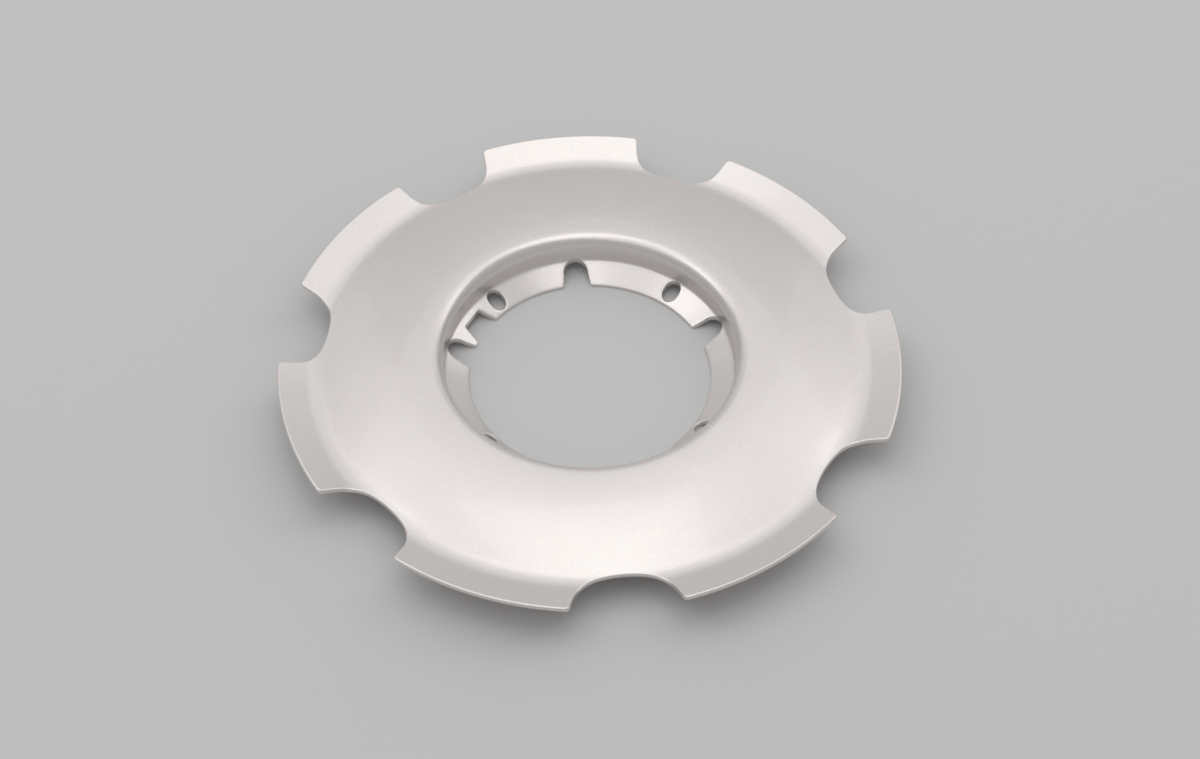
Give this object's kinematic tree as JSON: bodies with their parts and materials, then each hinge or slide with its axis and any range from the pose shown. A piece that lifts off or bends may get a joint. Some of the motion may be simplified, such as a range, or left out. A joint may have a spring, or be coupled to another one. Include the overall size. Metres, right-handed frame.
{
  "type": "wheel centre cap",
  "caption": "Round silver wheel centre cap with an open middle, a rolled bead, a sloping clip flange below it, and a flared rim notched for the wheel's spokes.",
  "frame": {"origin": "on the wheel's axis, in the plane of the seat under the flange, which is also the surface that the cap lies on", "axes": "+Z along the wheel's axis, out of the wheel; +Y through the middle of the tab over the first clip slot"},
  "size_m": [0.2, 0.1984, 0.015],
  "materials": {
    "silver_paint": "metallic silver paint under clear lacquer on moulded plastic"
  },
  "bodies": {
    "root": {"centre_cap": "silver_paint"}
  },
  "joints": []
}
